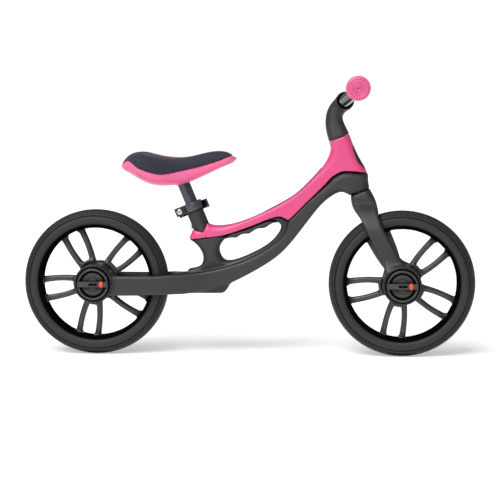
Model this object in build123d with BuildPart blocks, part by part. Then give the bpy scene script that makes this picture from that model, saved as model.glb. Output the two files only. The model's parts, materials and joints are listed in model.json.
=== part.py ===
# Child's balance bike: composite frame, fork with gooseneck stem, twin-spoke wheels,
# height-adjustable saddle and tool-free axle knobs. Millimetres, +X forward, +Y to the
# rider's left, +Z up, origin on the ground midway between the wheels.
from math import cos, radians, sin
import os
from build123d import *

# ---- wheels and hubs ----
WHEELBASE = 588.0
TYRE_R = 140.0
TYRE_HALF_W = 22.0
TREAD_HALF_W = 12.0
RIM_R = 112.0
RIM_INNER_R = 105.0
RIM_HALF_W = 17.0
SPOKE_PAIRS = 5
SPOKE_START_ANGLE = 44.5
SPOKE_HALF_W = 5.3
SPOKE_HALF_T = 7.0
HUB_R = 44.0
HUB_WEB_HALF_T = 11.0
HUB_BARREL_R = 20.0
HUB_HALF_L = 25.0
BEARING_OR = 14.0
BEARING_W = 8.0
AXLE_R = 6.0
RUNNING_CLEARANCE = 0.05
HUB_BORE_R = 10.0
DROPOUT_IN = 28.0
DROPOUT_SEAT = 36.0
DROPOUT_OUT = 47.0
DROPOUT_R = 37.0
DROPOUT_WELL_R = 31.4
TOOTH_RING_IN_R = 31.2
TOOTH_RING_R = 36.0
TOOTH_RING_OUT = 50.0
TOOTH_COUNT = 28
TOOTH_DEPTH = 3.0
TOOTH_GAP = 3.2
KNOB_R = 30.4
KNOB_BASE = 36.6
KNOB_RIM = 55.0
KNOB_BAR_TOP = 57.6
KNOB_CHAMFER = 1.2
KNOB_FLOOR_GAP = 0.3
KNOB_BAR_HALF_W = 5.25
KNOB_DISC_R = 21.4
KNOB_DISC_TOP = 52.0
KNOB_BOSS_R = 8.0
KNOB_BOSS_OFFSET = 4.7
KNOB_BOSS_TOP = 54.0
KNOB_GROOVE_R = 26.2
KNOB_GROOVE_FLOOR = 46.5
KNOB_SLOT = (17.4, 5.2)
KNOB_SLOT_X = 0.9
AXLE_END = 42.0
BUTTON_X = 16.4
BUTTON_HALF_L = 3.7
BUTTON_HALF_H = 5.6
BUTTON_GAP = 0.35
BUTTON_SURROUND = 1.3
BUTTON_TOP = 58.3
BUTTON_FLOOR = 49.5
BUTTON_WELL_FLOOR = 44.0
SPRING_R = 2.4
SPRING_WIRE_R = 0.35
SPRING_TURNS = 5

# ---- steering ----
STEER_TILT = 21.6
STEER_POINT = (213.5, 0, 315.5)
HEAD_LENGTH = 109.7
STEERER_R = 11.1
HEAD_BUSH_R = 14.0
BUSH_LENGTH = 14.0
BAR_R = 11.1
BAR_WALL = 1.6
BARREL_R = 17.5
BARREL_HALF_L = 22.0
GRIP_R = 15.0
GRIP_FLANGE_R = 22.0
GRIP_END_Y = 200.0
GRIP_START_Y = 103.0

# ---- seat ----
SEAT_TILT = 22.5
SEAT_FOOT = (-50.3, 0, 150.0)
POST_R = 12.0
POST_WALL = 1.8
SEAT_TUBE_R = 16.2
POST_BORE_FROM = 55.0
SEAT_TUBE_FROM = 89.0
SEAT_TUBE_TO = 152.5
POST_FROM = 82.0
POST_TO = 216.0
COLLAR_R = 18.7
COLLAR_FROM = 139.5
COLLAR_TO = 155.5
CLAMP_BOLT_X = -26.8
CLAMP_BOLT_T = 147.5
LEVER_PIN_Y = 16.5
LEVER_FROM = 135.0
LEVER_TO = 152.0
LEVER_HUB_R = 7.5
LEVER_PIN_R = 4.0

CLAMP_BOLT_R = 2.5
FOOT_HALF_W = 16.0
GRIP_HALF_W = 16.4
STEM_HALF_W = 15.5
TUBE_SCREW_T = 112.0

# ---- frame outline in the XZ plane ----
TOP_EDGE = [(154, 410), (157, 397), (149, 374), (131, 350), (95, 314), (44, 283),
            (3, 264), (-27, 254), (-55, 250), (-73, 252), (-79, 256)]
SLEEVE_SLOPE = [(-79, 256), (-106, 243)]
TAIL = [(-106, 243), (-114.5, 223)]
PILLAR_REAR = [(-114.5, 223), (-104, 216.5), (-92, 203), (-87, 187), (-92, 173), (-116, 166)]
STAY_TOP = [(-116, 166), (-145, 158), (-185, 155), (-285, 155)]
STAY_END = [(-285, 155), (-285, 117)]
STAY_UNDER = [(-285, 117), (-237, 117), (-185, 118), (-121, 120)]
DOWN_TUBE = [(-121, 120), (-85, 125), (-50, 134), (-23, 145), (18, 167), (59, 195),
             (95, 235), (132, 283), (150, 301), (166, 312), (180, 315.5), (195.8, 308.5)]
FOOT_PAD = [(-118, 120), (-54, 120)], [(-54, 120), (-46, 122), (-39, 130), (-33, 141)]
HEAD_BOTTOM = [(195.8, 308.5), (230.6, 322.2)]
HEAD_FRONT = [(230.6, 322.2), (228, 337), (227, 350), (217, 370), (205, 392), (192, 425)]
HEAD_TOP = [(192, 425), (154, 410)]
PARTING_REAR = [(-130, 222.5), (-114.5, 223), (-63, 228.6), (-37, 234.4), (-11, 243.2), (14, 252.6),
                (40, 263), (53, 267), (63, 268), (70, 265), (77, 261)]
PARTING_FRONT = [(77, 261), (91, 274), (116, 299), (150, 333), (159, 343), (168, 349),
                 (178, 354), (193, 355), (209, 354), (240, 349)]
SIDE_CREASE = [(-130, 157), (-91, 161), (-52, 169), (-12, 181), (23, 198), (55, 220),
               (72, 242), (77, 261)]
OPENING_LOWER = [(-45, 224), (-54, 211), (-54, 198), (-47, 186), (-33, 183), (0, 194),
                 (39, 216), (57, 235), (63, 250), (57, 257)]
GRIP_UPPER = [(57, 257), (40, 258.5), (14, 249.5), (-11, 240), (-37, 231.5), (-45, 224)]
GRIP_SCALLOPS = [(-45, 224), (-39, 227), (-24, 227), (-19, 230), (-13, 235), (0, 235),
                 (5, 237), (13, 243.5), (28, 246), (32, 247), (39, 252.5), (57, 257)]
BADGE_EDGE = [(200, 403), (209, 375), (215, 366), (222, 358)]
BADGE_HALF_W = 17.0

TUBE_INSERT_UPPER = [(22, 272), (43.5, 283.8), (75.5, 301.4), (94.4, 314.6), (112.3, 331.4),
                     (130.2, 350.6), (138.5, 360.4)]
TUBE_INSERT_LOWER = [(140.5, 358), (133, 348.4), (114.8, 328.8), (96.6, 311.6), (77.4, 298.4),
                     (45.2, 280.2), (24, 269)]
TUBE_INSERT_HALF_W = 9.0

# ---- half widths of the frame seen from above, as (X, half width) ----
FRAME_PLAN = [(-285, 47), (-240, 47), (-200, 45.5), (-160, 42), (-128, 36), (-100, 29.5),
              (-70, 25), (-30, 22.5), (40, 21.5), (120, 21), (260, 21)]
COVER_PLAN = [(-140, 17.5), (-80, 18.5), (0, 19), (80, 20), (130, 20.9), (260, 21)]
STAY_GAP_FRONT = -116.0
STAY_GAP_LENGTH = 240.0
STAY_GAP_CORNER = 24.0
WAIST_HALF_W = 16.6

# ---- fork outline ----
FORK_TOP = [(231.3, 321.7), (195.5, 307.6)]
FORK_REAR = [(195.5, 307.6), (196.8, 295), (200.2, 284.5), (214.2, 261.5), (226.3, 239.2), (241, 210.5),
             (255, 187), (260, 174), (262, 150)]
FORK_FRONT = [(318, 150), (313, 170), (300, 179), (287, 193), (275, 215), (260, 242),
              (249.8, 272), (244.8, 293.5), (238.9, 307.5), (231.3, 321.7)]
FORK_FOOT = [(262, 150), (318, 150)]
FORK_OUTER = [(21, 325), (24, 314), (25.8, 302), (22.8, 285), (26.2, 267), (34.5, 246),
              (36.5, 225), (36.8, 190), (41, 177), (46.5, 166), (47, 145)]
FORK_ARCH = [(28, 145), (28, 215), (26, 245), (21, 264), (11, 273), (0, 276)]

# ---- stem outline ----
STEM_BACK = [(153.9, 410.7), (150.2, 423.4), (147.3, 438), (147, 453), (149.5, 467), (155, 479),
             (165, 491), (176, 497)]
STEM_FRONT = [(191.9, 425.7), (184.5, 441.2), (180, 452), (180, 460), (184, 466), (192, 473)]
BARREL_CENTRE = (184, 0, 488)
BAR_PATH = [(208, -196, 510), (205.5, -98, 507.6), (184, -38, 488), (184, 38, 488),
            (205.5, 98, 507.6), (208, 196, 510)]

# ---- saddle outline ----
PAD_TOP = [(-245, 361), (-242, 369), (-235, 378), (-224, 387), (-205, 391), (-183, 387.5),
           (-157, 382), (-134, 380), (-110, 382.5), (-87, 388), (-66, 392), (-48, 392),
           (-36, 388.5), (-26, 382)]
SADDLE_UNDER = [(-19, 378), (-27, 372), (-51, 361), (-74, 350), (-100, 338), (-122, 330),
                (-145, 327), (-168, 326), (-192, 331), (-212, 341), (-231, 352), (-245, 361)]
PAD_EDGE = [(-250, 358), (-238, 368), (-224, 375), (-209, 365), (-186, 355), (-162, 350),
            (-136, 354), (-95, 363), (-49, 377), (-26, 385), (-10, 390)]
SADDLE_PLAN = [(-246, 0), (-243, 28), (-231, 51), (-210, 65), (-186, 66), (-160, 56),
               (-130, 42), (-98, 33), (-64, 27), (-40, 23.5), (-25, 15), (-18.5, 0)]
SADDLE_BOSS_R = 14.8
SADDLE_BOSS_L = 21.0
STRIPE_UPPER = [(-184, 388.2), (-157, 382.5), (-127, 380.6)]
STRIPE_LOWER = [(-127, 377), (-157, 378.6), (-184, 384.2)]
STRIPE_HALF_W = 8.0
SADDLE_SCREWS = [(-196, 336), (-72, 354)]
SCREW_HEAD_R = 4.5
SCREW_HEAD_H = 3.0
SCREW_R = 2.0
SCREW_L = 18.0


# ---------------------------------------------------------------- shared construction
def closed_outline(*runs):
    """Closed loop of smooth curves and straight edges, each run starting at the last's end."""
    with BuildLine() as outline:
        for run in runs:
            if len(run) == 2:
                Line(*run)
            else:
                Spline(*run)
    return outline.line


def along(plane, distance):
    """The same plane shifted along its normal."""
    return plane.offset(distance)


def mirrored_plan(half_plan, end_x):
    """Strip between a half-width curve and its mirror image across the bike's centre plane."""
    with BuildSketch(Plane.XY) as strip:
        with BuildLine():
            Spline(*half_plan)
            Line(half_plan[-1], (end_x, 0))
            Line((end_x, 0), (half_plan[0][0], 0))
            Line((half_plan[0][0], 0), half_plan[0])
        make_face()
        mirror(about=Plane.XZ)
    return strip.sketch


def side_slab(runs, half_width):
    """Outline in the XZ plane given thickness equally to both sides."""
    with BuildPart() as slab:
        with BuildSketch(Plane.XZ.offset(-half_width)):
            add(closed_outline(*runs))
            make_face()
        extrude(amount=2 * half_width)
    return slab.part


def outward(side):
    """Plane square to the axle on one side of a wheel: side -1 is the rider's right."""
    if side < 0:
        return Plane.XZ
    return Plane(origin=(0, 0, 0), x_dir=(1, 0, 0), z_dir=(0, 1, 0))


def at_wheel(solid, centre_x):
    """Solid modelled round the origin, moved to a wheel's axle."""
    return Pos(centre_x, 0, TYRE_R) * solid


FRONT_X = WHEELBASE / 2
REAR_X = -WHEELBASE / 2
STEER_DIR = (-sin(radians(STEER_TILT)), 0, cos(radians(STEER_TILT)))
STEER_ACROSS = (cos(radians(STEER_TILT)), 0, sin(radians(STEER_TILT)))
STEER_PLANE = Plane(origin=STEER_POINT, x_dir=STEER_ACROSS, z_dir=STEER_DIR)
SEAT_DIR = (-sin(radians(SEAT_TILT)), 0, cos(radians(SEAT_TILT)))
SEAT_ACROSS = (cos(radians(SEAT_TILT)), 0, sin(radians(SEAT_TILT)))
SEAT_PLANE = Plane(origin=SEAT_FOOT, x_dir=SEAT_ACROSS, z_dir=SEAT_DIR)
TUBE_SCREW_PLANE = Plane(origin=SEAT_PLANE.from_local_coords((0, 0, TUBE_SCREW_T)),
                         z_dir=SEAT_PLANE.x_dir * -1)
CLAMP_PLANE = Plane(origin=SEAT_PLANE.from_local_coords((CLAMP_BOLT_X, 0, CLAMP_BOLT_T)),
                    z_dir=(0, -1, 0))
os.makedirs("parts", exist_ok=True)


# ---------------------------------------------------------------- wheels
def build_tyre():
    """Foam tyre with a rounded tread, two grooves at each shoulder and a flat bead."""
    with BuildPart() as tyre:
        with BuildSketch(Plane.XY):
            with BuildLine():
                Line((RIM_R, -18), (RIM_R, 18))
                Spline((RIM_R, 18), (115.5, 20.6), (120, TYRE_HALF_W), (128, 20.8),
                       (134, 17.5), (138, TREAD_HALF_W))
                ThreePointArc((138, TREAD_HALF_W), (TYRE_R, 0), (138, -TREAD_HALF_W))
                Spline((138, -TREAD_HALF_W), (134, -17.5), (128, -20.8),
                       (120, -TYRE_HALF_W), (115.5, -20.6), (RIM_R, -18))
            make_face()
        revolve(axis=Axis.Y)
        for groove_r in (128.0, 131.5):
            with BuildSketch(Plane.XY):
                with Locations((groove_r, 22.6), (groove_r, -22.6)):
                    Circle(1.9)
            revolve(axis=Axis.Y, mode=Mode.SUBTRACT)
    return tyre.part


def spoke_outline():
    """Face of one pair of bowed spokes pointing along the sketch's X axis."""
    with BuildSketch() as pair:
        for side in (1, -1):
            with BuildLine():
                Spline((36, side * 4.5), (62, side * 9), (88, side * 12), (105, side * 12.8))
                Line((105, side * 12.8), (105, side * 24.5))
                Spline((105, side * 24.5), (98, side * 23.2), (80, side * 20.5),
                       (58, side * 17.5), (42, side * 16.5))
                Line((42, side * 16.5), (36, side * 4.5))
            make_face()
    return pair.sketch


def build_rim():
    """One-piece rim: channel ring, five twin-spoke pairs, web and bearing barrel."""
    with BuildPart() as rim:
        with BuildSketch(Plane.XZ):
            Circle(RIM_R)
            Circle(RIM_INNER_R, mode=Mode.SUBTRACT)
        extrude(amount=RIM_HALF_W, both=True)
        with BuildSketch(Plane.XZ):
            with PolarLocations(0, SPOKE_PAIRS, start_angle=SPOKE_START_ANGLE):
                add(spoke_outline())
        extrude(amount=SPOKE_HALF_T, both=True)
        with BuildSketch(Plane.XZ):
            Circle(HUB_R)
            with PolarLocations(HUB_R + 9, SPOKE_PAIRS, start_angle=SPOKE_START_ANGLE + 36):
                Circle(15, mode=Mode.SUBTRACT)
        extrude(amount=HUB_WEB_HALF_T, both=True)
        with BuildSketch(Plane.XZ):
            Circle(HUB_BARREL_R)
        extrude(amount=HUB_HALF_L, both=True)
        with BuildSketch(Plane.XZ):
            Circle(HUB_BORE_R)
        extrude(amount=HUB_HALF_L, both=True, mode=Mode.SUBTRACT)
        for side in (-1, 1):
            with BuildSketch(along(outward(side), HUB_HALF_L - BEARING_W)):
                Circle(BEARING_OR)
            extrude(amount=BEARING_W, mode=Mode.SUBTRACT)
    return rim.part


def build_bearings():
    """Pair of sealed bearings pressed into the hub's ends."""
    with BuildPart() as bearings:
        for side in (-1, 1):
            with BuildSketch(along(outward(side), HUB_HALF_L - BEARING_W)):
                Circle(BEARING_OR)
                Circle(AXLE_R + RUNNING_CLEARANCE, mode=Mode.SUBTRACT)
            extrude(amount=BEARING_W)
    return bearings.part


def build_axle():
    """Steel axle with a shallow groove near each end."""
    with BuildPart() as axle:
        with BuildSketch(Plane.XZ):
            Circle(AXLE_R)
        extrude(amount=AXLE_END, both=True)
        chamfer(axle.edges().filter_by(GeomType.CIRCLE), 0.8)
    return axle.part


def build_axle_spacers():
    """Tube between the bearings and a washer between each bearing and its dropout."""
    with BuildPart() as spacers:
        with BuildSketch(Plane.XZ):
            Circle(AXLE_R + 2.2)
            Circle(AXLE_R, mode=Mode.SUBTRACT)
        extrude(amount=HUB_HALF_L - BEARING_W - 0.3, both=True)
        for side in (-1, 1):
            with BuildSketch(along(outward(side), HUB_HALF_L + 0.3)):
                Circle(AXLE_R + 3.2)
                Circle(AXLE_R, mode=Mode.SUBTRACT)
            extrude(amount=DROPOUT_IN - HUB_HALF_L - 0.3)
    return spacers.part


def build_toothed_rings():
    """Castellated ring round the knob well on each side."""
    with BuildPart() as rings:
        for side in (-1, 1):
            with BuildSketch(along(outward(side), DROPOUT_OUT)):
                Circle(TOOTH_RING_R)
                Circle(TOOTH_RING_IN_R, mode=Mode.SUBTRACT)
                with PolarLocations(TOOTH_RING_R, TOOTH_COUNT):
                    Rectangle(TOOTH_DEPTH, TOOTH_GAP, mode=Mode.SUBTRACT)
            extrude(amount=TOOTH_RING_OUT - DROPOUT_OUT)
    return rings.part


def knob_body(side, well):
    """Round knob with a face groove and a raised grab bar; well opens the button's cavity."""
    reach = 2 * KNOB_BAR_TOP
    with BuildPart() as knob:
        with BuildSketch(along(outward(side), KNOB_BASE)):
            Circle(KNOB_R)
        extrude(amount=KNOB_RIM - KNOB_BASE)
        chamfer(knob.faces().sort_by(Axis.Y)[0 if side < 0 else -1].edges(), KNOB_CHAMFER)
        with BuildSketch(along(outward(side), KNOB_GROOVE_FLOOR)):
            Circle(KNOB_GROOVE_R)
            Circle(KNOB_DISC_R, mode=Mode.SUBTRACT)
        extrude(amount=reach, mode=Mode.SUBTRACT)
        with BuildSketch(along(outward(side), KNOB_DISC_TOP)):
            Circle(KNOB_GROOVE_R)
        extrude(amount=reach, mode=Mode.SUBTRACT)
        with BuildSketch(along(outward(side), KNOB_GROOVE_FLOOR)):
            with Locations((0, KNOB_BOSS_OFFSET), (0, -KNOB_BOSS_OFFSET)):
                Circle(KNOB_BOSS_R)
        extrude(amount=KNOB_BOSS_TOP - KNOB_GROOVE_FLOOR)
        with BuildSketch(along(outward(side), KNOB_GROOVE_FLOOR - 1)):
            Rectangle(KNOB_R + KNOB_GROOVE_R, 2 * KNOB_BAR_HALF_W)
            if well:
                with Locations((BUTTON_X, 0)):
                    Ellipse(BUTTON_HALF_L + BUTTON_SURROUND, BUTTON_HALF_H + BUTTON_SURROUND)
        extrude(amount=KNOB_BAR_TOP - KNOB_GROOVE_FLOOR + 1)
        with BuildSketch(along(outward(side), KNOB_RIM - KNOB_CHAMFER)):
            with Locations((KNOB_SLOT_X, 0)):
                SlotOverall(*KNOB_SLOT)
        extrude(amount=reach, mode=Mode.SUBTRACT)
        if well:
            with BuildSketch(along(outward(side), BUTTON_WELL_FLOOR)):
                with Locations((BUTTON_X, 0)):
                    Ellipse(BUTTON_HALF_L + BUTTON_GAP, BUTTON_HALF_H + BUTTON_GAP)
            extrude(amount=reach, mode=Mode.SUBTRACT)
        with BuildSketch(along(outward(side), KNOB_BASE)):
            Circle(AXLE_R + (RUNNING_CLEARANCE if well else 0))
        extrude(amount=AXLE_END + KNOB_FLOOR_GAP - KNOB_BASE, mode=Mode.SUBTRACT)
    return knob.part


def build_button():
    """Oval push button standing in the knob's cavity."""
    with BuildPart() as button:
        with BuildSketch(along(Plane.XZ, BUTTON_FLOOR)):
            with Locations((BUTTON_X, 0)):
                Ellipse(BUTTON_HALF_L, BUTTON_HALF_H)
        extrude(amount=BUTTON_TOP - BUTTON_FLOOR)
        chamfer(button.faces().sort_by(Axis.Y)[0].edges(), 0.6)
    return button.part


def build_spring():
    """Return spring under the push button."""
    length = BUTTON_FLOOR - BUTTON_WELL_FLOOR - 2 * SPRING_WIRE_R
    base = Plane(origin=(BUTTON_X, -(BUTTON_WELL_FLOOR + SPRING_WIRE_R), 0),
                 x_dir=(1, 0, 0), z_dir=(0, -1, 0))
    with BuildPart() as spring:
        with BuildLine() as coil:
            Helix(pitch=length / SPRING_TURNS, height=length, radius=SPRING_R)
        with BuildSketch(Plane(origin=coil.line @ 0, z_dir=coil.line % 0)):
            Circle(SPRING_WIRE_R)
        sweep()
    return base.location * spring.part


wheel_pieces = {
    "tyre": build_tyre(),
    "rim": build_rim(),
    "bearings": build_bearings(),
    "axle": build_axle(),
    "axle_spacers": build_axle_spacers(),
    "toothed_rings": build_toothed_rings(),
    "axle_knob": knob_body(-1, True),
    "axle_cap": knob_body(1, False),
    "release_button": build_button(),
    "button_spring": build_spring(),
}
for end_name, centre_x in (("front", FRONT_X), ("rear", REAR_X)):
    for piece_name, solid in wheel_pieces.items():
        placed = at_wheel(solid, centre_x)
        placed.label = end_name + "_" + piece_name
        export_step(placed, "parts/" + placed.label + ".step")


# ---------------------------------------------------------------- frame
FRAME_RUNS = (TOP_EDGE, SLEEVE_SLOPE, TAIL, PILLAR_REAR, STAY_TOP, STAY_END, STAY_UNDER,
              DOWN_TUBE, HEAD_BOTTOM, HEAD_FRONT, HEAD_TOP)
COVER_ZONE = (PARTING_REAR, PARTING_FRONT, [(240, 349), (240, 460)],
              [(240, 460), (-130, 460)], [(-130, 460), PARTING_REAR[0]])
WAIST_ZONE = (SIDE_CREASE, PARTING_REAR[::-1], [PARTING_REAR[0], SIDE_CREASE[0]])
OPENING_ZONE = (OPENING_LOWER, GRIP_UPPER)


def hub_ring(centre_x):
    """Round axle housing on both sides of a wheel."""
    with BuildPart() as ring:
        for side in (-1, 1):
            with BuildSketch(along(outward(side), DROPOUT_IN)):
                Circle(DROPOUT_R)
            extrude(amount=DROPOUT_OUT - DROPOUT_IN)
    return at_wheel(ring.part, centre_x)


def hub_well(centre_x):
    """Knob well and axle bore cut from a pair of axle housings."""
    with BuildPart() as well:
        for side in (-1, 1):
            with BuildSketch(along(outward(side), DROPOUT_SEAT)):
                Circle(DROPOUT_WELL_R)
            extrude(amount=30)
            with BuildSketch(along(outward(side), DROPOUT_OUT)):
                Circle(DROPOUT_R)
            extrude(amount=30)
        with BuildSketch(Plane.XZ):
            Circle(AXLE_R)
        extrude(amount=DROPOUT_OUT, both=True)
    return at_wheel(well.part, centre_x)


def tube_along(plane, outer_r, inner_r, start, end):
    """Round tube along a plane's normal; inner_r of 0 makes it solid."""
    with BuildPart() as tube:
        with BuildSketch(along(plane, start)):
            Circle(outer_r)
            if inner_r > 0:
                Circle(inner_r, mode=Mode.SUBTRACT)
        extrude(amount=end - start)
    return tube.part


frame_waist_cut = side_slab(WAIST_ZONE, 60) - side_slab(WAIST_ZONE, WAIST_HALF_W)
cover_block = side_slab(COVER_ZONE, 60)
opening_block = side_slab(OPENING_ZONE, 60)
tube_insert_block = side_slab(
    (TUBE_INSERT_UPPER, [TUBE_INSERT_UPPER[-1], TUBE_INSERT_LOWER[0]], TUBE_INSERT_LOWER,
     [TUBE_INSERT_LOWER[-1], TUBE_INSERT_UPPER[0]]), TUBE_INSERT_HALF_W)
badge_block = side_slab(
    (BADGE_EDGE, [BADGE_EDGE[-1], (250, 358)], [(250, 358), (250, 403)],
     [(250, 403), BADGE_EDGE[0]]), BADGE_HALF_W)
seat_tube_plug = tube_along(SEAT_PLANE, SEAT_TUBE_R, 0, SEAT_TUBE_FROM, SEAT_TUBE_TO)
post_bore = tube_along(SEAT_PLANE, POST_R + RUNNING_CLEARANCE, 0, POST_BORE_FROM, SEAT_TUBE_TO)
head_bore = (
    tube_along(STEER_PLANE, HEAD_BUSH_R, 0, -5, BUSH_LENGTH)
    + tube_along(STEER_PLANE, STEERER_R + 1.5, 0, 0, HEAD_LENGTH)
    + tube_along(STEER_PLANE, HEAD_BUSH_R, 0, HEAD_LENGTH - BUSH_LENGTH, HEAD_LENGTH + 8)
)

with BuildPart() as frame_shell:
    with BuildSketch(Plane.XZ):
        add(closed_outline(*FRAME_RUNS))
        make_face()
    extrude(amount=60, both=True)
    with BuildSketch(Plane.XY):
        add(mirrored_plan(FRAME_PLAN, 260))
    extrude(amount=600, mode=Mode.INTERSECT)

with BuildPart() as stay_gap:
    with BuildSketch(Plane.XY):
        with Locations((STAY_GAP_FRONT - STAY_GAP_LENGTH / 2, 0)):
            RectangleRounded(STAY_GAP_LENGTH, 2 * DROPOUT_IN, STAY_GAP_CORNER)
    extrude(amount=200)

with BuildPart() as frame_lower:
    add(frame_shell.part)
    add(cover_block, mode=Mode.SUBTRACT)
    add(frame_waist_cut, mode=Mode.SUBTRACT)
    add(opening_block, mode=Mode.SUBTRACT)
    with BuildSketch(Plane.XZ):
        add(closed_outline(FOOT_PAD[0], FOOT_PAD[1], [FOOT_PAD[1][-1], (-100, 141)],
                           [(-100, 141), FOOT_PAD[0][0]]))
        make_face()
    extrude(amount=FOOT_HALF_W, both=True)
    add(stay_gap.part, mode=Mode.SUBTRACT)
    add(hub_ring(REAR_X))
    add(hub_well(REAR_X), mode=Mode.SUBTRACT)
    add(seat_tube_plug, mode=Mode.SUBTRACT)
    add(post_bore, mode=Mode.SUBTRACT)
    add(head_bore, mode=Mode.SUBTRACT)

with BuildPart() as frame_upper_cover:
    add(frame_shell.part)
    add(cover_block, mode=Mode.INTERSECT)
    with BuildSketch(Plane.XY):
        add(mirrored_plan(COVER_PLAN, 260))
    extrude(amount=600, mode=Mode.INTERSECT)
    add(tube_insert_block, mode=Mode.SUBTRACT)
    add(badge_block, mode=Mode.SUBTRACT)
    add(seat_tube_plug, mode=Mode.SUBTRACT)
    add(post_bore, mode=Mode.SUBTRACT)
    add(head_bore, mode=Mode.SUBTRACT)

with BuildPart() as head_badge_insert:
    add(frame_shell.part)
    add(badge_block, mode=Mode.INTERSECT)
    add(head_bore, mode=Mode.SUBTRACT)

with BuildPart() as top_tube_insert:
    add(tube_insert_block)

with BuildPart() as handle_grip:
    with BuildSketch(Plane.XZ):
        add(closed_outline(GRIP_SCALLOPS, GRIP_UPPER))
        make_face()
    extrude(amount=GRIP_HALF_W, both=True)

with BuildPart() as seat_tube:
    add(seat_tube_plug)
    add(post_bore, mode=Mode.SUBTRACT)

with BuildPart() as seat_tube_screw:
    with BuildSketch(TUBE_SCREW_PLANE.offset(POST_R + 0.6)):
        Circle(1.8)
    extrude(amount=SEAT_TUBE_R - POST_R)
    with BuildSketch(TUBE_SCREW_PLANE.offset(SEAT_TUBE_R + 0.2)):
        Circle(4.2)
    extrude(amount=3.0)
    chamfer(seat_tube_screw.faces().sort_by(Axis.X)[0].edges(), 0.8)
seat_tube.part = seat_tube.part - seat_tube_screw.part

with BuildPart() as head_bushes:
    for start in (0.2, HEAD_LENGTH - BUSH_LENGTH):
        with BuildSketch(along(STEER_PLANE, start)):
            Circle(HEAD_BUSH_R)
            Circle(STEERER_R + RUNNING_CLEARANCE, mode=Mode.SUBTRACT)
        extrude(amount=BUSH_LENGTH - 0.2)


# ---------------------------------------------------------------- seat clamp
with BuildPart() as seat_clamp_collar:
    with BuildSketch(along(SEAT_PLANE, COLLAR_FROM)):
        Circle(COLLAR_R)
        with Locations((-25.2, 0)):
            RectangleRounded(21, 17, 2)
        with Locations((-18, 0)):
            Rectangle(8, 17)
        Circle(SEAT_TUBE_R, mode=Mode.SUBTRACT)
        with Locations((-27, 0)):
            Rectangle(26, 3, mode=Mode.SUBTRACT)
    extrude(amount=COLLAR_TO - COLLAR_FROM)
    with BuildSketch(CLAMP_PLANE.offset(-20)):
        Circle(CLAMP_BOLT_R)
    extrude(amount=40, mode=Mode.SUBTRACT)

with BuildPart() as clamp_bolt:
    with BuildSketch(CLAMP_PLANE.offset(-LEVER_PIN_Y)):
        Circle(CLAMP_BOLT_R)
    extrude(amount=LEVER_PIN_Y + 12.6)

with BuildPart() as clamp_nut:
    with BuildSketch(CLAMP_PLANE.offset(8.5)):
        Circle(5.6)
        Circle(CLAMP_BOLT_R, mode=Mode.SUBTRACT)
    extrude(amount=4.6)
    chamfer(clamp_nut.faces().sort_by(Axis.Y)[0].edges().sort_by(SortBy.LENGTH)[-1], 0.9)

with BuildPart() as clamp_lever_pin:
    with BuildSketch(along(SEAT_PLANE, LEVER_FROM + 0.6)):
        with Locations((CLAMP_BOLT_X, LEVER_PIN_Y)):
            Circle(LEVER_PIN_R)
    extrude(amount=LEVER_TO - LEVER_FROM - 1.2)
    add(clamp_bolt.part, mode=Mode.SUBTRACT)

with BuildPart() as clamp_lever:
    with BuildSketch(along(SEAT_PLANE, LEVER_FROM)):
        with BuildLine():
            Spline((-30, 22), (-12, 27), (6, 26), (19, 19.5), (26.5, 10), (30, 2))
            Line((30, 2), (26.4, 0))
            Spline((26.4, 0), (22, 8), (15.5, 15.5), (4, 21.4), (-10, 22), (-22, 14))
            Line((-22, 14), (-30, 22))
        make_face()
        with Locations((CLAMP_BOLT_X, LEVER_PIN_Y)):
            Circle(LEVER_HUB_R)
            Circle(LEVER_PIN_R + RUNNING_CLEARANCE, mode=Mode.SUBTRACT)
    extrude(amount=LEVER_TO - LEVER_FROM)
    with BuildSketch(along(SEAT_PLANE, CLAMP_BOLT_T - 3.2)):
        with Locations((CLAMP_BOLT_X, LEVER_PIN_Y)):
            Circle(LEVER_HUB_R + 1.6)
    extrude(amount=6.4, mode=Mode.SUBTRACT)


# ---------------------------------------------------------------- saddle
with BuildPart() as seat_post:
    with BuildSketch(along(SEAT_PLANE, POST_FROM)):
        Circle(POST_R)
        Circle(POST_R - POST_WALL, mode=Mode.SUBTRACT)
    extrude(amount=POST_TO - POST_FROM)

with BuildPart() as seat_post_plug:
    with BuildSketch(along(SEAT_PLANE, POST_FROM - 2)):
        Circle(POST_R - 0.4)
    extrude(amount=2)
    with BuildSketch(along(SEAT_PLANE, POST_FROM)):
        Circle(POST_R - POST_WALL)
    extrude(amount=8)

SCREW_UP = (Align.CENTER, Align.CENTER, Align.MIN)
SCREW_DOWN = (Align.CENTER, Align.CENTER, Align.MAX)
saddle_screw_solids = Part() + [
    Pos(x, 0, z) * (Cylinder(SCREW_HEAD_R, SCREW_HEAD_H, align=SCREW_UP)
                    + Cylinder(SCREW_R, SCREW_L, align=SCREW_UP))
    for x, z in SADDLE_SCREWS
]
saddle_screw_access = Part() + [
    Pos(x, 0, z) * Cylinder(SCREW_HEAD_R, SCREW_L, align=SCREW_DOWN) for x, z in SADDLE_SCREWS
]
with BuildPart() as seat_screws:
    add(saddle_screw_solids)

with BuildPart() as saddle_shell:
    with BuildSketch(Plane.XZ):
        add(closed_outline(PAD_TOP, [PAD_TOP[-1], SADDLE_UNDER[0]], SADDLE_UNDER))
        make_face()
    extrude(amount=90, both=True)
    with BuildSketch(Plane.XY):
        with BuildLine():
            Spline(*SADDLE_PLAN)
            Line(SADDLE_PLAN[-1], SADDLE_PLAN[0])
        make_face()
        mirror(about=Plane.XZ)
    extrude(amount=600, mode=Mode.INTERSECT)

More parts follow.
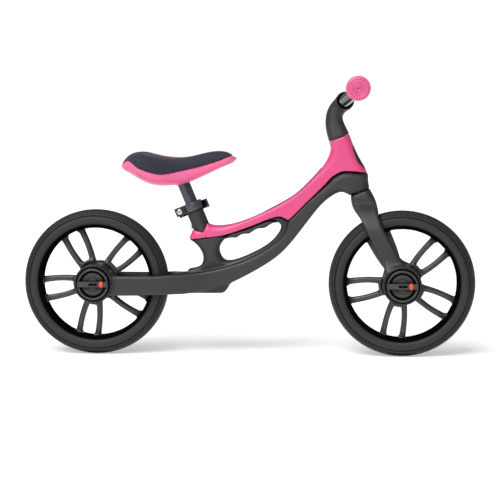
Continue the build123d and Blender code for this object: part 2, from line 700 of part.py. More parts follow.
pad_zone = side_slab((PAD_EDGE, [PAD_EDGE[-1], (-10, 430)], [(-10, 430), (-250, 430)],
                      [(-250, 430), PAD_EDGE[0]]), 90)
stripe_block = side_slab((STRIPE_UPPER, [STRIPE_UPPER[-1], STRIPE_LOWER[0]], STRIPE_LOWER,
                          [STRIPE_LOWER[-1], STRIPE_UPPER[0]]), STRIPE_HALF_W)
post_plug = tube_along(SEAT_PLANE, POST_R, 0, POST_FROM, POST_TO)

with BuildPart() as seat_base:
    add(saddle_shell.part)
    add(pad_zone, mode=Mode.SUBTRACT)
    with BuildSketch(along(SEAT_PLANE, POST_TO - SADDLE_BOSS_L)):
        Circle(SADDLE_BOSS_R)
    extrude(amount=SADDLE_BOSS_L)
    add(post_plug, mode=Mode.SUBTRACT)
    add(saddle_screw_solids, mode=Mode.SUBTRACT)
    add(saddle_screw_access, mode=Mode.SUBTRACT)

with BuildPart() as seat_pad:
    add(saddle_shell.part)
    add(pad_zone, mode=Mode.INTERSECT)
    add(stripe_block, mode=Mode.SUBTRACT)
    add(saddle_screw_solids, mode=Mode.SUBTRACT)

with BuildPart() as seat_pad_stripe:
    add(stripe_block)


# ---------------------------------------------------------------- fork and steering
with BuildPart() as fork:
    with BuildSketch(Plane.XZ):
        add(closed_outline(FORK_TOP, FORK_REAR, FORK_FOOT, FORK_FRONT))
        make_face()
    extrude(amount=60, both=True)
    with BuildSketch(Plane.YZ):
        with BuildLine():
            Spline(*FORK_OUTER)
            Line(FORK_OUTER[-1], FORK_ARCH[0])
            Spline(*FORK_ARCH)
            Line(FORK_ARCH[-1], (0, 330))
            Line((0, 330), (21, 330))
            Line((21, 330), FORK_OUTER[0])
        make_face()
        mirror(about=Plane.YZ)
    extrude(amount=400, mode=Mode.INTERSECT)
    add(hub_ring(FRONT_X))
    add(hub_well(FRONT_X), mode=Mode.SUBTRACT)
    add(tube_along(STEER_PLANE, STEERER_R, 0, -26, 20), mode=Mode.SUBTRACT)

with BuildPart() as steerer_tube:
    with BuildSketch(along(STEER_PLANE, -26)):
        Circle(STEERER_R)
        Circle(STEERER_R - 2, mode=Mode.SUBTRACT)
    extrude(amount=HEAD_LENGTH + 52)

with BuildPart() as stem:
    with BuildSketch(Plane.XZ):
        add(closed_outline(STEM_BACK, [STEM_BACK[-1], STEM_FRONT[-1]], STEM_FRONT[::-1],
                           [STEM_FRONT[0], STEM_BACK[0]]))
        make_face()
    extrude(amount=STEM_HALF_W, both=True)
    fillet([e for e in stem.edges() if e.length > 45 and abs(e.center().Y) > 10], 6)
    with BuildSketch(Plane.XZ):
        with Locations((BARREL_CENTRE[0], BARREL_CENTRE[2])):
            Circle(BARREL_R)
    extrude(amount=BARREL_HALF_L, both=True)
    with BuildSketch(Plane.XZ):
        with Locations((BARREL_CENTRE[0], BARREL_CENTRE[2])):
            Circle(BAR_R)
    extrude(amount=60, both=True, mode=Mode.SUBTRACT)
    for side in (-1, 1):
        with BuildSketch(along(outward(side), BARREL_HALF_L - 4)):
            with Locations((BARREL_CENTRE[0], BARREL_CENTRE[2])):
                Circle(BARREL_R - 3.5)
        extrude(amount=20, mode=Mode.SUBTRACT)
    add(tube_along(STEER_PLANE, STEERER_R, 0, HEAD_LENGTH - 5, HEAD_LENGTH + 26),
        mode=Mode.SUBTRACT)
    add(tube_along(STEER_PLANE, 4.1, 0, HEAD_LENGTH, HEAD_LENGTH + 60), mode=Mode.SUBTRACT)

with BuildPart() as stem_bolt:
    with BuildSketch(along(STEER_PLANE, HEAD_LENGTH + 8)):
        Circle(4)
    extrude(amount=30)
    with BuildSketch(along(STEER_PLANE, HEAD_LENGTH + 8)):
        Circle(STEERER_R - 2)
    extrude(amount=8)

with BuildPart() as handlebar_tube:
    with BuildLine() as bar_path:
        FilletPolyline(*BAR_PATH, radius=24)
    with BuildSketch(Plane(origin=bar_path.line @ 0, z_dir=bar_path.line % 0)):
        Circle(BAR_R)
        Circle(BAR_R - BAR_WALL, mode=Mode.SUBTRACT)
    sweep()


def build_grip(side):
    """Ribbed grip with a hand guard flange and a ringed, closed end."""
    inner = Vector(205.5, side * 98, 507.6)
    outer = Vector(208, side * 196, 510)
    axis = (outer - inner).normalized()
    base = Plane(origin=inner + axis * (GRIP_START_Y - 98), z_dir=axis)
    length = GRIP_END_Y - GRIP_START_Y
    with BuildPart() as grip:
        with BuildSketch(base):
            Circle(GRIP_R + 3)
        extrude(amount=4)
        with BuildSketch(base.offset(4)):
            Circle(GRIP_R)
        extrude(amount=length - 10)
        with BuildSketch(base.offset(length - 8)):
            Circle(GRIP_FLANGE_R)
        extrude(amount=8)
        chamfer(grip.faces().sort_by(Axis.Y)[-1 if side > 0 else 0].edges(), 2.2)
        for ring_r in (6.2, 9.9, 13.6, 17.6):
            with BuildSketch(base.offset(length - 1)):
                Circle(ring_r + 0.7)
                Circle(ring_r - 0.7, mode=Mode.SUBTRACT)
            extrude(amount=4, mode=Mode.SUBTRACT)
        for rib in range(9):
            with BuildSketch(base.offset(10 + rib * 8)):
                Circle(GRIP_R + 5)
                Circle(GRIP_R - 0.7, mode=Mode.SUBTRACT)
            extrude(amount=1.6, mode=Mode.SUBTRACT)
        with BuildSketch(base):
            Circle(BAR_R)
        extrude(amount=(outer - inner).length - (GRIP_START_Y - 98), mode=Mode.SUBTRACT)
    return grip.part


grip_right_part = build_grip(-1)
grip_left_part = build_grip(1)

# ---------------------------------------------------------------- export
named_solids = {
    "frame_lower": frame_lower.part,
    "frame_upper_cover": frame_upper_cover.part,
    "head_badge_insert": head_badge_insert.part,
    "top_tube_insert": top_tube_insert.part,
    "handle_grip": handle_grip.part,
    "seat_tube": seat_tube.part,
    "seat_tube_screw": seat_tube_screw.part,
    "head_bushes": head_bushes.part,
    "seat_clamp_collar": seat_clamp_collar.part,
    "clamp_bolt": clamp_bolt.part,
    "clamp_nut": clamp_nut.part,
    "clamp_lever_pin": clamp_lever_pin.part,
    "clamp_lever": clamp_lever.part,
    "seat_post": seat_post.part,
    "seat_post_plug": seat_post_plug.part,
    "seat_screws": seat_screws.part,
    "seat_base": seat_base.part,
    "seat_pad": seat_pad.part,
    "seat_pad_stripe": seat_pad_stripe.part,
    "fork": fork.part,
    "steerer_tube": steerer_tube.part,
    "stem": stem.part,
    "stem_bolt": stem_bolt.part,
    "handlebar_tube": handlebar_tube.part,
    "grip_right": grip_right_part,
    "grip_left": grip_left_part,
}
for solid_name, solid in named_solids.items():
    solid.label = solid_name
    export_step(solid, "parts/" + solid_name + ".step")
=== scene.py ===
import json
import math
from itertools import product

import bmesh
import bpy
import numpy as np
from mathutils import Matrix, Vector


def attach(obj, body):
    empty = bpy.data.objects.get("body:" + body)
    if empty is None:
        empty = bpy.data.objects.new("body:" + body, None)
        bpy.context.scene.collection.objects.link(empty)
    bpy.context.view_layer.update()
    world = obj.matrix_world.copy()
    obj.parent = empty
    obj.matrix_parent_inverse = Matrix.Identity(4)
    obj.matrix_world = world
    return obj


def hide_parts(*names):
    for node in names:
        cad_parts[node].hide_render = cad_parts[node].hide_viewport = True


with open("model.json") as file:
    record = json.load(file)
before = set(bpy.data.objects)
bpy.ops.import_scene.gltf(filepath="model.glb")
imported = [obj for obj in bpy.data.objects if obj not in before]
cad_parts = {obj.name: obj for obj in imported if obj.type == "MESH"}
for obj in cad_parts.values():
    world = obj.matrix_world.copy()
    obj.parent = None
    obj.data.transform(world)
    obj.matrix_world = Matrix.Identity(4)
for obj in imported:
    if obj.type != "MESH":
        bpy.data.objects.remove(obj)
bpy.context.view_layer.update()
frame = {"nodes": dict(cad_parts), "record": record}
MM = 0.001

# ---------------------------------------------------------------- driving dimensions, mm
# axles, and the round ends of stays and fork with their knob wells
AXLE_X, AXLE_Z = 294, 140
DROPOUT_R, DROPOUT_WELL_R = 37.0, 31.4
DROPOUT_IN, DROPOUT_OUT, WELL_FLOOR, WELL_TOP = 28, 47, 36, 80
# seat tube axis and bores
SEAT_FOOT_X, SEAT_FOOT_Z, SEAT_TILT = -50.3, 150, math.radians(22.5)
POST_BORE_R, POST_BORE_FROM, TUBE_HOLE_R = 12.6, 56, 16.6
# chassis
CORE_HALF, FOOT_HALF, HANDLE_HALF = 15.0, 16, 16.4
TYRE_GAP_X, TYRE_GAP_R, TYRE_GAP_END, TYRE_GAP_FLAT = -140, 24, -116, 4
FOOT_TOP = (-100, 141)
# edge roundings
PART_LINE, END_ROUND, HEAD_ROUND, FLANK_ROUND = 0.8, 0.7, 14.0, 5.0
# badge plate on the head: centre height, half sizes, gap round it, slope of its back
BADGE_Z, BADGE_HALF_H, BADGE_HALF_W, BADGE_GAP = 381, 24.5, 17.8, 0.6
BADGE_BACK, BADGE_SLOPE, BADGE_PROUD = 205, 0.36, 0.3
# stem and its bar clamp
STEM_HALF, STEM_FLARE, STEM_ROUND = 16, 4, 14.0
STEM_FOOT = (199.3, 407.1), (161.3, 392.1)
CLAMP_X, CLAMP_Z, CLAMP_R, CLAMP_HALF, BAR_MOUTH_R = 184, 488, 17.5, 22, 14.0
# saddle; the boss is measured along the seat axis
SADDLE_BOSS_R, SADDLE_BOSS_FROM, SADDLE_BOSS_TO, BOSS_BORE_R = 14.8, 195, 212, 12.1
SADDLE_SCREWS, SCREW_WELL_R = ((-196, 336), (-72, 354)), 4.8
PAD_CROWN, BASE_SHORTER, PAD_ROUND, BASE_ROUND, SEAM_HALF = 7.0, 1.5, 11.0, 9.0, 0.15
# wheels; angles in degrees, the tyre profile is (radius, half-width)
RIM_MID_R, RIM_HALF, RIM_HALF_W, HUB_R, HUB_HALF = 108.3, 3.3, 17, 20, 25
WEB_R, WEB_HALF, SCOOP_AT, SCOOP_R = 45, 11, 54, 17
SPOKE_PAIRS, FIRST_PAIR, PAIR_PITCH = 5, 44.5, 72
FOOT_ASIDE, FOOT_WIDE = 18.4, 7.6
TREAD_CUTS, TREAD_FROM, TREAD_DEPTH, TREAD_SLANT = 64, 133.4, 0.9, 0.75
TYRE_PROFILE = [(111.0, 16.4), (111.8, 18.6), (113.2, 20.4), (116, 21.6), (119.5, 22.0),
                (123, 21.9), (126.4, 21.2), (127.2, 19.6), (128.0, 18.9), (128.8, 19.5),
                (129.6, 19.9), (131.2, 19.0), (132.0, 17.4), (132.8, 16.9), (133.6, 17.3),
                (134.6, 16.8), (136.0, 15.2), (137.4, 12.8), (138.6, 9.6), (139.5, 5.2), (140.0, 1.6)]
# grips, along the bar from its start to its end
GRIP_RIBS, GRIP_RIB_FROM, GRIP_RIB_PITCH = 10, 9, 7.6
GRIP_RING_RADII = (16.4, 11.6, 7.4, 3.6)
GRIP_START, GRIP_END, GRIP_SETBACK = (205.5, 98, 507.6), (208, 196, 510), 5

# ---------------------------------------------------------------- outlines, mm in the XZ plane
TOP_EDGE = [(154, 410), (157, 397), (149, 374), (131, 350), (95, 314), (44, 283),
            (3, 264), (-27, 254), (-55, 250), (-73, 252), (-79, 256)]
SLEEVE_SLOPE = [(-79, 256), (-90, 246), (-106, 243)]
TAIL = [(-106, 243), (-114.5, 223)]
PILLAR_REAR = [(-114.5, 223), (-104, 216.5), (-92, 203), (-87, 187), (-92, 173), (-116, 166)]
STAY_TOP = [(-116, 166), (-145, 158), (-185, 155), (-285, 155)]
STAY_END = [(-285, 155), (-285, 117)]
STAY_UNDER = [(-285, 117), (-237, 117), (-185, 118), (-121, 120)]
DOWN_TUBE = [(-121, 120), (-85, 125), (-50, 134), (-23, 145), (18, 167), (59, 195),
             (95, 235), (132, 283), (150, 301), (166, 312), (180, 315.5), (195.8, 308.5)]
FOOT = [(-118, 120), (-54, 120)], [(-54, 120), (-46, 122), (-39, 130), (-33, 141)]
HEAD_BELOW = ([(195.8, 308.5), (203.2, 289.9)], [(203.2, 289.9), (238, 303.6)],
              [(238, 303.6), (230.6, 322.2)])
HEAD_FRONT = [(230.6, 322.2), (228, 337), (227, 350), (217, 370), (205, 392), (192, 425)]
HEAD_ABOVE = ([(192, 425), (184.6, 443.6)], [(184.6, 443.6), (146.6, 428.6)],
              [(146.6, 428.6), (154, 410)])
PARTING_REAR = [(-130, 222.5), (-114.5, 223), (-63, 228.6), (-37, 234.4), (-11, 243.2), (14, 252.6),
                (40, 263), (53, 267), (63, 268), (70, 265), (77, 261)]
PARTING_FRONT = [(77, 261), (91, 274), (116, 299), (150, 333), (159, 343), (168, 349),
                 (178, 354), (193, 355), (209, 354), (240, 349)]
CREASE = [(-130, 157), (-91, 161), (-52, 169), (-12, 181), (23, 198), (55, 220),
          (72, 242), (77, 261)]
OPENING_LOWER = [(-45, 224), (-54, 211), (-54, 198), (-47, 186), (-33, 183), (0, 194),
                 (39, 216), (57, 235), (63, 250), (57, 257)]
GRIP_UPPER = [(57, 257), (40, 258.5), (14, 249.5), (-11, 240), (-37, 231.5), (-45, 224)]
GRIP_SCALLOPS = [(-45, 224), (-39, 226), (-30, 227.5), (-22, 227.5), (-17, 231), (-9, 234.5),
                 (0, 235), (6, 237.5), (14, 243), (24, 245.5), (32, 246.5), (40, 251.5),
                 (49, 256), (57, 257)]
FRAME_PLAN = [(-285, 47), (-240, 47), (-200, 45.5), (-160, 42), (-128, 36), (-100, 29.5),
              (-70, 25), (-30, 22.5), (40, 21.5), (120, 21), (260, 21)]
COVER_PLAN = [(-140, 17.5), (-80, 18.5), (0, 19), (80, 20), (130, 20.9), (260, 21)]
FORK_TOP = ([(231.3, 321.7), (223.9, 340.3)], [(223.9, 340.3), (188.1, 326.2)],
            [(188.1, 326.2), (195.5, 307.6)])
FORK_REAR = [(195.5, 307.6), (196.8, 295), (200.2, 284.5), (214.2, 261.5), (226.3, 239.2), (241, 210.5),
             (255, 187), (260, 174), (262, 150)]
FORK_FRONT = [(318, 150), (313, 170), (300, 179), (287, 193), (275, 215), (260, 242),
              (249.8, 272), (244.8, 293.5), (238.9, 307.5), (231.3, 321.7)]
FORK_FOOT = [(262, 150), (318, 150)]
FORK_OUTER = [(21, 325), (24.6, 314), (27.2, 303), (25.8, 294), (20.2, 284),
              (21.6, 276), (26, 265), (34.5, 246), (36.5, 225), (36.8, 190), (41, 177), (46.5, 166), (47, 145)]
FORK_ARCH = [(28, 145), (28, 215), (26, 245), (21, 264), (11, 273), (0, 276)]
STEM_BACK = [(153.9, 410.7), (150.2, 423.4), (147.3, 438), (147, 453), (149.5, 467), (155, 479),
             (165, 491), (176, 497)]
STEM_FRONT = [(191.9, 425.7), (184.5, 441.2), (180, 452), (180, 460), (184, 466), (192, 473)]
PAD_TOP = [(-245, 361), (-242, 369), (-235, 378), (-224, 387), (-205, 391), (-183, 387.5),
           (-157, 382), (-134, 380), (-110, 382.5), (-87, 388), (-66, 392), (-48, 392),
           (-36, 388.5), (-26, 382)]
SADDLE_UNDER = [(-19, 378), (-27, 372), (-51, 361), (-74, 350), (-100, 338), (-122, 330),
                (-145, 327), (-168, 326), (-192, 331), (-212, 341), (-231, 352), (-245, 361)]
PAD_EDGE = [(-250, 358), (-238, 368), (-224, 375), (-209, 365), (-186, 355), (-162, 350),
            (-136, 354), (-95, 363), (-49, 377), (-26, 385), (-10, 390)]
SADDLE_PLAN = [(-246, 0), (-243, 28), (-231, 51), (-210, 65), (-186, 66), (-160, 56),
               (-130, 42), (-98, 33), (-64, 27), (-40, 23.5), (-25, 15), (-18.5, 0)]


# ---------------------------------------------------------------- curves and distance fields
def spline(points, per=10):
    """Natural cubic through the points, chord-length parameter."""
    p = np.asarray(points, float)
    if len(p) == 2:
        return p
    t = np.concatenate([[0], np.cumsum(np.sqrt(np.linalg.norm(np.diff(p, axis=0), axis=1)))])
    n = len(p)
    h = np.diff(t)
    a = np.zeros((n, n))
    b = np.zeros((n, 2))
    a[0, 0] = a[-1, -1] = 1
    for i in range(1, n - 1):
        a[i, i - 1:i + 2] = h[i - 1], 2 * (h[i - 1] + h[i]), h[i]
        b[i] = 6 * ((p[i + 1] - p[i]) / h[i] - (p[i] - p[i - 1]) / h[i - 1])
    m = np.linalg.solve(a, b)
    out = []
    for i in range(n - 1):
        for u in np.linspace(0, 1, per, endpoint=False):
            s = u * h[i]
            r = h[i] - s
            out.append((m[i] * r ** 3 + m[i + 1] * s ** 3) / (6 * h[i])
                       + (p[i] / h[i] - m[i] * h[i] / 6) * r
                       + (p[i + 1] / h[i] - m[i + 1] * h[i] / 6) * s)
    out.append(p[-1])
    return np.array(out)


def loop(*runs):
    """Closed polygon from runs that each start where the last ended."""
    parts = [spline(r)[:-1] for r in runs]
    return np.concatenate(parts)


def polygon_field(poly, u, v):
    """Signed distance (negative inside) to a closed polygon on the grid u x v."""
    uu, vv = np.meshgrid(u, v, indexing="ij")
    best = np.full(uu.shape, 1e18)
    inside = np.zeros(uu.shape, bool)
    nxt = np.roll(poly, -1, axis=0)
    for (ax, ay), (bx, by) in zip(poly, nxt):
        dx, dy = bx - ax, by - ay
        ll = dx * dx + dy * dy
        if ll == 0:
            continue
        s = np.clip(((uu - ax) * dx + (vv - ay) * dy) / ll, 0, 1)
        d = (uu - ax - s * dx) ** 2 + (vv - ay - s * dy) ** 2
        np.minimum(best, d, out=best)
        if ay != by:
            hit = ((ay > vv) != (by > vv)) & (uu < (bx - ax) * (vv - ay) / (by - ay) + ax)
            inside ^= hit
    best = np.sqrt(best)
    return np.where(inside, -best, best)


def round_and(a, b, r):
    """Intersection of two fields with a rounded edge."""
    return (np.minimum(-r, np.maximum(a, b))
            + np.hypot(np.maximum(a + r, 0), np.maximum(b + r, 0)))


def soft_or(a, b, k):
    """Union of two fields with a soft fillet."""
    h = np.clip(0.5 + 0.5 * (b - a) / k, 0, 1)
    return b * (1 - h) + a * h - k * h * (1 - h)


class Grid:
    """Regular sampling grid in mm, with fields of flat outlines and rods."""

    def __init__(self, low, high, h):
        self.h = h
        self.low = np.array(low, float)
        n = [int(math.ceil((b - a) / h)) + 1 for a, b in zip(low, high)]
        self.x, self.y, self.z = [a + h * np.arange(k) for a, k in zip(low, n)]
        self.X = self.x[:, None, None]
        self.Y = self.y[None, :, None]
        self.Z = self.z[None, None, :]

    def side(self, poly):
        """Field of an outline in the XZ plane."""
        return polygon_field(poly, self.x, self.z)[:, None, :]

    def front(self, poly):
        """Field of an outline in the (|Y|, Z) plane."""
        f = polygon_field(poly, np.abs(self.y), self.z)
        return f[None, :, :]

    def plan(self, poly):
        """Field of an outline in the (X, |Y|) plane."""
        f = polygon_field(poly, self.x, np.abs(self.y))
        return f[:, :, None]

    def rod_y(self, cx, cz, r, y0, y1, edge=0.8):
        """Round rod along Y on both sides, |Y| from y0 to y1."""
        radial = np.hypot(self.X - cx, self.Z - cz) - r
        across = np.abs(np.abs(self.Y) - (y0 + y1) / 2) - (y1 - y0) / 2
        return round_and(radial, across, edge)


EDGES = [(a, b) for a in range(8) for b in range(a + 1, 8) if bin(a ^ b).count("1") == 1]


def surface_nets(f, grid):
    """Quad surface where f is zero, with its points pulled onto the surface."""
    nx, ny, nz = f.shape
    inside = f < 0
    cnt = sum(inside[dx:nx - 1 + dx, dy:ny - 1 + dy, dz:nz - 1 + dz].astype(np.int8)
              for dx, dy, dz in product((0, 1), repeat=3))
    cells = np.argwhere((cnt > 0) & (cnt < 8))
    vals = np.stack([f[cells[:, 0] + (c & 1), cells[:, 1] + (c >> 1 & 1), cells[:, 2] + (c >> 2)]
                     for c in range(8)], 1)
    acc = np.zeros((len(cells), 3))
    num = np.zeros(len(cells))
    off = np.array([(c & 1, c >> 1 & 1, c >> 2) for c in range(8)], float)
    for a, b in EDGES:
        va, vb = vals[:, a], vals[:, b]
        cross = (va < 0) != (vb < 0)
        t = np.where(cross, va / np.where(cross, va - vb, 1), 0)
        acc += np.where(cross[:, None], off[a] + t[:, None] * (off[b] - off[a]), 0)
        num += cross
    pos = cells + acc / num[:, None]
    index = np.full((nx - 1, ny - 1, nz - 1), -1, np.int64)
    index[tuple(cells.T)] = np.arange(len(cells))
    quads = []
    for axis in range(3):
        lo = [slice(1, n - 1) for n in (nx, ny, nz)]
        hi = list(lo)
        lo[axis] = slice(0, (nx, ny, nz)[axis] - 1)
        hi[axis] = slice(1, (nx, ny, nz)[axis])
        a, b = inside[tuple(lo)], inside[tuple(hi)]
        for sign in (0, 1):
            e = np.argwhere((a & ~b) if sign else (~a & b))
            start = [1, 1, 1]
            start[axis] = 0
            e = e + np.array(start)
            u, v = (axis + 1) % 3, (axis + 2) % 3
            du, dv = np.zeros(3, int), np.zeros(3, int)
            du[u], dv[v] = 1, 1
            ring = [e - du - dv, e - dv, e, e - du]
            q = np.stack([index[tuple(r.T)] for r in ring], 1)
            quads.append(q if sign else q[:, ::-1])
    quads = np.concatenate(quads)
    quads = quads[(quads >= 0).all(1)]
    grad = np.gradient(f)
    for _ in range(3):
        i = np.clip(pos.astype(int), 0, np.array(f.shape) - 2)
        t = pos - i
        value = np.zeros(len(pos))
        g = np.zeros((len(pos), 3))
        for c in range(8):
            o = np.array((c & 1, c >> 1 & 1, c >> 2))
            w = np.prod(np.where(o, t, 1 - t), axis=1)
            k = tuple((i + o).T)
            value += w * f[k]
            for d in range(3):
                g[:, d] += w * grad[d][k]
        step = value[:, None] * g / np.maximum((g ** 2).sum(1), 1e-3)[:, None]
        pos = pos - np.clip(step, -0.35, 0.35)
    return grid.low + pos * grid.h, quads


def new_mesh(name, verts_mm, faces, smooth=True):
    """Object from points in mm, all faces with the same corner count or a list of tuples."""
    me = bpy.data.meshes.new(name)
    if isinstance(faces, np.ndarray):
        me.vertices.add(len(verts_mm))
        me.vertices.foreach_set("co", (np.asarray(verts_mm) * MM).astype(np.float32).ravel())
        k = faces.shape[1]
        me.loops.add(faces.size)
        me.loops.foreach_set("vertex_index", faces.astype(np.int32).ravel())
        me.polygons.add(len(faces))
        me.polygons.foreach_set("loop_start", np.arange(0, faces.size, k, dtype=np.int32))
        me.update(calc_edges=True)
        me.validate()
    else:
        me.from_pydata([tuple(c * MM for c in v) for v in verts_mm], [], faces)
    me.polygons.foreach_set("use_smooth", [smooth] * len(me.polygons))
    me.update()
    ob = bpy.data.objects.new(name, me)
    bpy.context.scene.collection.objects.link(ob)
    return ob


def field_object(name, f, grid, relax=2):
    """Mesh of a field, with a light relax that evens the quads."""
    verts, quads = surface_nets(f, grid)
    ob = new_mesh(name, verts, quads)
    if relax:
        bm = bmesh.new()
        bm.from_mesh(ob.data)
        for _ in range(relax):
            bmesh.ops.smooth_vert(bm, verts=bm.verts, factor=0.4, use_axis_x=True,
                                  use_axis_y=True, use_axis_z=True)
        bm.to_mesh(ob.data)
        bm.free()
        ob.data.update()
    return ob


# ---------------------------------------------------------------- material tools, lengths in metres
TONE_LOW, TONE_HIGH = 0.3, 0.7
BROAD_SCALE, BROAD_DETAIL, FINE_DETAIL, FINE_SHARE = 14.0, 3.0, 4.0, 0.45
GRAIN_DEPTH = 0.0004
# Painted shade in crevices: how steeply it darkens and how many samples find the walls.
CREVICE_SHADE_CONTRAST, CREVICE_SHADE_SAMPLES = 3.0, 8
# Painted shade rings: the radii where the rim's recess and the knob's groove are painted black, and the black
# they are painted with.
RIM_SHADE_FROM, RIM_SHADE_TO, RIM_SHADE_EDGE = 0.1032, 0.2, 0.0015
KNOB_SHADE_FROM, KNOB_SHADE_TO, KNOB_SHADE_EDGE = 0.0300, 0.0332, 0.0004
SHADE_BLACK = (0.002, 0.002, 0.002, 1)


def linear(hex_colour):
    """Linear RGBA from a display hex colour."""
    c = [int(hex_colour[i:i + 2], 16) / 255 for i in (1, 3, 5)]
    return tuple(((v + 0.055) / 1.055) ** 2.4 if v > 0.04045 else v / 12.92 for v in c) + (1,)


def paint_crevice_shade(nt, colour, reach, spec):
    """Painted shade: darker colour and shine where walls nearer than reach (metres) close a surface in."""
    n, l = nt.nodes, nt.links
    b = n["Principled BSDF"]
    near = n.new("ShaderNodeAmbientOcclusion")
    near.inputs["Distance"].default_value = reach
    near.samples = CREVICE_SHADE_SAMPLES
    power = n.new("ShaderNodeMath")
    power.operation = "POWER"
    power.inputs[1].default_value = CREVICE_SHADE_CONTRAST
    l.new(near.outputs["AO"], power.inputs[0])
    tone = n.new("ShaderNodeMix")
    tone.data_type = "RGBA"
    tone.inputs[6].default_value = SHADE_BLACK
    l.new(power.outputs[0], tone.inputs[0])
    l.new(colour, tone.inputs[7])
    l.new(tone.outputs[2], b.inputs["Base Color"])
    shine = n.new("ShaderNodeMath")
    shine.operation = "MULTIPLY"
    shine.inputs[1].default_value = spec
    l.new(power.outputs[0], shine.inputs[0])
    l.new(shine.outputs[0], b.inputs["Specular IOR Level"])


def moulded(name, dark, light, rough, grain=900.0, bump=0.08, spread=0.06, spec=0.5, metal=0.0,
            coat=0.0, stretch=None, sheen=0.0, crevice_shade=0.0):
    """Surface with broad tone variation, fine grain bump, a slightly uneven roughness and optional painted
    shade in crevices.
    """
    m = bpy.data.materials.new(name)
    m.use_nodes = True
    nt = m.node_tree
    n, l = nt.nodes, nt.links
    b = n["Principled BSDF"]
    b.inputs["Metallic"].default_value = metal
    b.inputs["Specular IOR Level"].default_value = spec
    b.inputs["Coat Weight"].default_value = coat
    b.inputs["Coat Roughness"].default_value = 0.15
    b.inputs["Sheen Weight"].default_value = sheen
    b.inputs["Sheen Roughness"].default_value = 0.5
    co = n.new("ShaderNodeTexCoord")
    src = co.outputs["Object"]
    if stretch:
        mp = n.new("ShaderNodeMapping")
        mp.inputs["Scale"].default_value = stretch
        l.new(src, mp.inputs["Vector"])
        src = mp.outputs["Vector"]
    broad = n.new("ShaderNodeTexNoise")
    broad.inputs["Scale"].default_value = BROAD_SCALE
    broad.inputs["Detail"].default_value = BROAD_DETAIL
    l.new(co.outputs["Object"], broad.inputs["Vector"])
    fine = n.new("ShaderNodeTexNoise")
    fine.inputs["Scale"].default_value = grain
    fine.inputs["Detail"].default_value = FINE_DETAIL
    l.new(src, fine.inputs["Vector"])
    both = n.new("ShaderNodeMix")
    both.data_type = "FLOAT"
    both.inputs[0].default_value = FINE_SHARE
    l.new(broad.outputs["Fac"], both.inputs[2])
    l.new(fine.outputs["Fac"], both.inputs[3])
    ramp = n.new("ShaderNodeValToRGB")
    ramp.color_ramp.elements[0].position = TONE_LOW
    ramp.color_ramp.elements[1].position = TONE_HIGH
    ramp.color_ramp.elements[0].color = linear(dark)
    ramp.color_ramp.elements[1].color = linear(light)
    l.new(both.outputs[0], ramp.inputs["Fac"])
    l.new(ramp.outputs["Color"], b.inputs["Base Color"])
    # Painted shade: colour and shine go towards black in crevices.
    if crevice_shade:
        paint_crevice_shade(nt, ramp.outputs["Color"], crevice_shade, spec)
    rr = n.new("ShaderNodeMapRange")
    rr.inputs["From Min"].default_value = TONE_LOW
    rr.inputs["From Max"].default_value = TONE_HIGH
    rr.inputs["To Min"].default_value = rough - spread
    rr.inputs["To Max"].default_value = rough + spread
    l.new(both.outputs[0], rr.inputs["Value"])
    l.new(rr.outputs["Result"], b.inputs["Roughness"])
    bp = n.new("ShaderNodeBump")
    bp.inputs["Strength"].default_value = bump
    bp.inputs["Distance"].default_value = GRAIN_DEPTH
    l.new(fine.outputs["Fac"], bp.inputs["Height"])
    l.new(bp.outputs["Normal"], b.inputs["Normal"])
    return m


# Some materials end with the reach, in metres, of the painted shade in their crevices.
MATERIALS = {
    "frame_composite": moulded("composite_dark", "#242323", "#2c2b2b", 0.42, 1500, 0.35, spec=0.4,
                               crevice_shade=0.02),
    "pink_shell": moulded("pink_satin", "#c23b70", "#c84378", 0.33, 1300, 0.12, 0.04),
    "black_insert": moulded("insert_black", "#171718", "#202022", 0.4, 1200, 0.2),
    "handle_rubber": moulded("handle_rubber", "#1a1718", "#231f20", 0.55, 900, 0.4),
    "tube_paint": moulded("post_paint", "#23252e", "#2f323d", 0.28, 700, 0.05, 0.05, coat=0.4),
    "bar_paint": moulded("bar_gloss_black", "#0d0d0f", "#141416", 0.2, 600, 0.03, 0.04, coat=0.5),
    "bright_steel": moulded("bright_steel", "#b9bbbf", "#d2d4d8", 0.16, 600, 0.03, 0.05, metal=1.0),
    "plain_steel": moulded("turned_steel", "#8d8f93", "#a8aaae", 0.32, 500, 0.1, 0.08, metal=1.0,
                           stretch=(1, 8, 1)),
    "spring_steel": moulded("spring_wire", "#75777b", "#8b8d91", 0.35, 600, 0.1, metal=1.0),
    "bush_plastic": moulded("bush_plastic", "#1c1c1d", "#242425", 0.45, 900, 0.1),
    "collar_paint": moulded("collar_satin", "#2c2d35", "#383943", 0.33, 800, 0.1, coat=0.3,
                            crevice_shade=0.01),
    "seat_pink": moulded("saddle_pink", "#e05c8e", "#e66697", 0.38, 1300, 0.12, 0.04),
    "pad_foam": moulded("pad_navy_foam", "#1b1d28", "#252836", 0.72, 1900, 0.7, 0.06, spec=0.3,
                        sheen=0.15),
    "grip_pink": moulded("grip_pink_rubber", "#cc4a7e", "#d45488", 0.42, 1500, 0.25, sheen=0.2,
                          crevice_shade=0.002),
    "tyre_foam": moulded("tyre_rubber", "#1a191a", "#242324", 0.6, 1100, 0.5, 0.08, spec=0.4,
                         crevice_shade=0.008),
    "rim_plastic": moulded("rim_black", "#201f20", "#292829", 0.38, 1100, 0.25, spec=0.6,
                           crevice_shade=0.015),
    "knob_plastic": moulded("knob_black", "#1c1c1d", "#262627", 0.3, 1100, 0.15, 0.04, spec=0.7,
                            crevice_shade=0.012),
    "button_orange": moulded("button_orange", "#f0381f", "#fb4a2c", 0.3, 1000, 0.06, 0.03),
}


